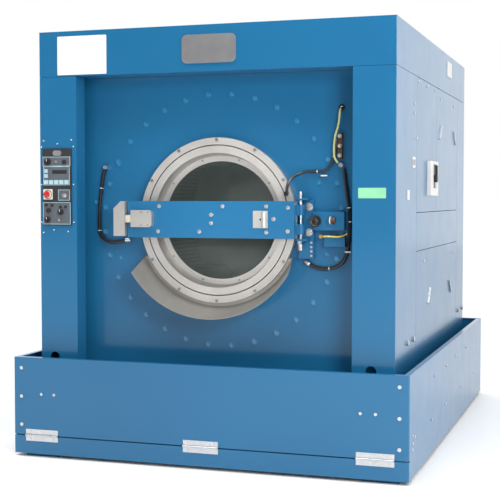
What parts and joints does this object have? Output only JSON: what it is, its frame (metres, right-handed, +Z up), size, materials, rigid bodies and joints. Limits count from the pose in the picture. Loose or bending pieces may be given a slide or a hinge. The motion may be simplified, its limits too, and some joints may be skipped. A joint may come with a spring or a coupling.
{
  "type": "tilting washer extractor",
  "caption": "Large blue front-loading washer-extractor in a framed housing that tips forward on a skirted base, with a round stainless door under a cross bar.",
  "frame": {"origin": "on the floor, under the middle of the machine's footprint", "axes": "+Z up, front with the door towards -Y, +X to the right seen from the front"},
  "size_m": [2.41, 3.157, 2.551],
  "materials": {
    "frame_blue": "satin industrial paint over heavy steel",
    "gloss_blue": "glossy blue enamel on sheet steel",
    "stainless": "brushed stainless",
    "zinc": "bright zinc plate",
    "cast_grey": "grey painted casting",
    "spring_steel": "black coated spring steel",
    "rubber_black": "black rubber and cable jacket",
    "panel_black": "black panel",
    "glass": "clear door glass",
    "plastic_white": "off-white moulded plastic",
    "plate_silver": "anodised plate",
    "stop_red": "red gloss"
  },
  "bodies": {
    "base": {"floor_frame": "frame_blue", "pivot_blocks": "cast_grey", "rest_pads": "rubber_black", "air_bags": "rubber_black"},
    "machine": {"tilt_frame": "frame_blue", "skirt_front": "gloss_blue", "skirt_sides": "gloss_blue", "cover_screws": "zinc", "flap_hinges": "zinc", "housing_frame": "frame_blue", "left_post": "gloss_blue", "right_post": "gloss_blue", "header": "gloss_blue", "side_panels": "gloss_blue", "rear_panels": "gloss_blue", "pipe_stubs": "zinc", "roof_panel": "gloss_blue", "nameplates": "plate_silver", "control_panel": "panel_black", "disconnect_box": "plastic_white", "suspension_springs": "spring_steel"},
    "flap": {"toe_flap": "gloss_blue"},
    "shell": {"shell_front_plate": "gloss_blue", "shell_tub": "frame_blue", "shell_back": "frame_blue", "shell_bolts": "zinc", "shell_cradle": "frame_blue", "door_land_ring": "stainless", "door_gasket": "rubber_black", "loading_chute": "stainless", "latch_keeper": "stainless", "hinge_plate": "gloss_blue", "hinge_rod": "zinc", "door_bumper": "rubber_black", "terminal_block": "plastic_white", "right_cable": "rubber_black", "left_cable": "rubber_black", "bearing_housing": "frame_blue", "motor_body": "cast_grey", "drive_belts": "rubber_black"},
    "drum": {"basket": "stainless", "lifting_ribs": "stainless", "drum_shaft": "cast_grey", "driven_pulley": "cast_grey"},
    "rotor": {"motor_rotor": "cast_grey"},
    "door": {"door_bar": "gloss_blue", "door_ring": "stainless", "glass_ring": "stainless", "door_glass": "glass", "bar_bolts": "zinc", "latch_box": "stainless"},
    "bolt": {"latch_bolt": "plastic_white"},
    "stop_button": {"emergency_stop": "stop_red"},
    "upper_button": {"black_button": "panel_black"},
    "run_button": {"start_button": "panel_black"},
    "cycle_dial": {"cycle_knob": "panel_black"},
    "speed_dial": {"speed_selector": "panel_black"},
    "mode_dial": {"mode_selector": "panel_black"},
    "key": {"key_switch": "plate_silver"},
    "isolator_lever": {"disconnect_handle": "panel_black"}
  },
  "joints": [
    {"name": "tilt", "type": "hinge", "parent": "base", "child": "machine", "pos_m": [0, -1.475, 0.07], "axis": [1, 0, 0], "range_deg": [0, 12], "deforming": ["air_bags"]},
    {"name": "flap_swing", "type": "hinge", "parent": "machine", "child": "flap", "pos_m": [0, -1.573, 0.1325], "axis": [-1, 0, 0], "range_deg": [0, 95]},
    {"name": "shell_bounce", "type": "slide", "parent": "machine", "child": "shell", "axis": [0, 0, 1], "range_m": [-0.012, 0.012], "stiffness_N_per_m": 2600000, "springref_m": 0.01009, "deforming": ["suspension_springs"]},
    {"name": "drum_spin", "type": "hinge", "parent": "shell", "child": "drum", "pos_m": [0, -0.565, 1.422], "axis": [0, 1, 0], "continuous": true},
    {"name": "motor_spin", "type": "hinge", "parent": "shell", "child": "rotor", "pos_m": [0.52, 0.635, 0.86], "axis": [0, 1, 0], "continuous": true},
    {"name": "door_swing", "type": "hinge", "parent": "shell", "child": "door", "pos_m": [0.522, -1.32, 1.43], "axis": [0, 0, 1], "range_deg": [0, 108]},
    {"name": "latch_slide", "type": "slide", "parent": "door", "child": "bolt", "axis": [-1, 0, 0], "range_m": [0, 0.025]},
    {"name": "stop_press", "type": "slide", "parent": "machine", "child": "stop_button", "axis": [0, 1, 0], "range_m": [0, 0.005], "stiffness_N_per_m": 900, "springref_m": -0.001},
    {"name": "upper_press", "type": "slide", "parent": "machine", "child": "upper_button", "axis": [0, 1, 0], "range_m": [0, 0.004], "stiffness_N_per_m": 500, "springref_m": -0.001},
    {"name": "run_press", "type": "slide", "parent": "machine", "child": "run_button", "axis": [0, 1, 0], "range_m": [0, 0.004], "stiffness_N_per_m": 500, "springref_m": -0.001},
    {"name": "cycle_turn", "type": "hinge", "parent": "machine", "child": "cycle_dial", "pos_m": [-1.032, -1.427, 1.772], "axis": [0, 1, 0], "range_deg": [-150, 150]},
    {"name": "speed_turn", "type": "hinge", "parent": "machine", "child": "speed_dial", "pos_m": [-1.035, -1.427, 1.423], "axis": [0, 1, 0], "range_deg": [-60, 60]},
    {"name": "mode_turn", "type": "hinge", "parent": "machine", "child": "mode_dial", "pos_m": [-0.947, -1.427, 1.469], "axis": [0, 1, 0], "range_deg": [-45, 45]},
    {"name": "key_turn", "type": "hinge", "parent": "machine", "child": "key", "pos_m": [-0.919, -1.427, 1.569], "axis": [0, 1, 0], "range_deg": [0, 90]},
    {"name": "isolator_turn", "type": "hinge", "parent": "machine", "child": "isolator_lever", "pos_m": [1.108, -0.235, 1.679], "axis": [1, 0, 0], "range_deg": [0, 90]}
  ],
  "couplings": [
    {"joint": "motor_spin", "follows": "drum_spin", "ratio": 3.5714}
  ]
}
